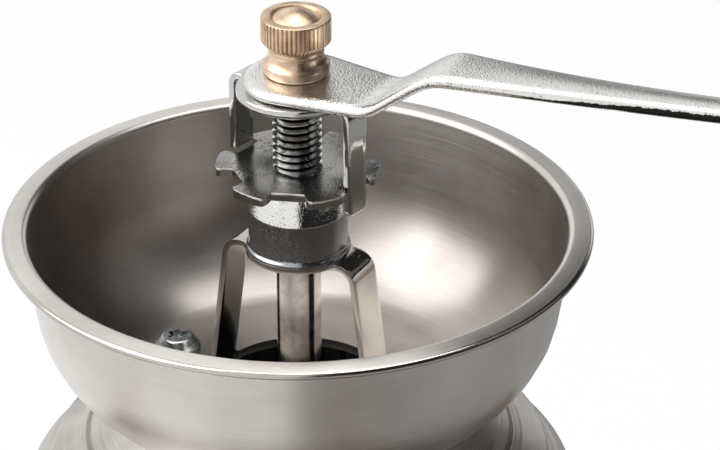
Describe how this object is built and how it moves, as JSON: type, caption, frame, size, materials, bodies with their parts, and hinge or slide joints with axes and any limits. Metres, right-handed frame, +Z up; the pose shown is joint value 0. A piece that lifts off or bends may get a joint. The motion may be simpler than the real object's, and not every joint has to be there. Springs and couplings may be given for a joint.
{
  "type": "hand crank coffee grinder",
  "caption": "Box coffee mill with an open steel bowl, a hand crank on a threaded shaft that turns a cone burr in a ring burr, and a drawer for the ground coffee.",
  "frame": {"origin": "on the shaft's axis, on the surface that the felt pad rests on", "axes": "+X along the crank arm at rest, +Z up the shaft, drawer opens towards -Y"},
  "size_m": [0.1824, 0.131, 0.2279],
  "materials": {
    "spun_steel": "brushed",
    "chrome": "chromed, slightly speckled",
    "shaft_steel": "turned steel",
    "nut_brass": "satin brass",
    "bush_bronze": "sintered bronze",
    "screw_steel": "zinc plated",
    "burr_iron": "cast",
    "box_wood": "oiled walnut",
    "drawer_wood": "bare beech",
    "knob_wood": "lacquered",
    "felt": "felt"
  },
  "bodies": {
    "housing": {"felt_pad": "felt", "base_board": "box_wood", "left_wall": "box_wood", "right_wall": "box_wood", "rear_wall": "box_wood", "front_rail": "box_wood", "top_board": "box_wood", "dome_cover": "spun_steel", "dome_screws": "nut_brass", "hopper_bowl": "spun_steel", "bearing_bridge": "chrome", "bridge_bush": "bush_bronze", "bowl_screws": "screw_steel", "outer_ring_burr": "burr_iron", "lower_guide_bar": "screw_steel", "guide_bush": "bush_bronze", "guide_screws": "screw_steel"},
    "rotor": {"drive_shaft": "shaft_steel", "inner_cone_burr": "burr_iron", "burr_washer": "screw_steel", "burr_nut": "screw_steel", "adjusting_wheel": "chrome", "lock_bracket": "chrome", "crank_arm": "chrome", "knob_pin": "nut_brass", "knob_washer": "nut_brass"},
    "nut": {"thumb_nut": "nut_brass"},
    "grip": {"crank_knob": "knob_wood"},
    "drawer": {"drawer_front": "box_wood", "drawer_left_side": "drawer_wood", "drawer_right_side": "drawer_wood", "drawer_back": "drawer_wood", "drawer_bottom": "drawer_wood", "drawer_knob": "nut_brass", "drawer_knob_screw": "screw_steel"}
  },
  "joints": [
    {"name": "crank_spin", "type": "hinge", "parent": "housing", "child": "rotor", "pos_m": [0, 0, 0.17], "axis": [0, 0, 1], "continuous": true},
    {"name": "grip_spin", "type": "hinge", "parent": "rotor", "child": "grip", "pos_m": [0.106, 0, 0.21], "axis": [0, 0, 1], "continuous": true},
    {"name": "nut_lift", "type": "slide", "parent": "rotor", "child": "nut", "axis": [0, 0, 1], "range_m": [0, 0.012]},
    {"name": "drawer_slide", "type": "slide", "parent": "housing", "child": "drawer", "axis": [0, -1, 0], "range_m": [0, 0.075]}
  ]
}
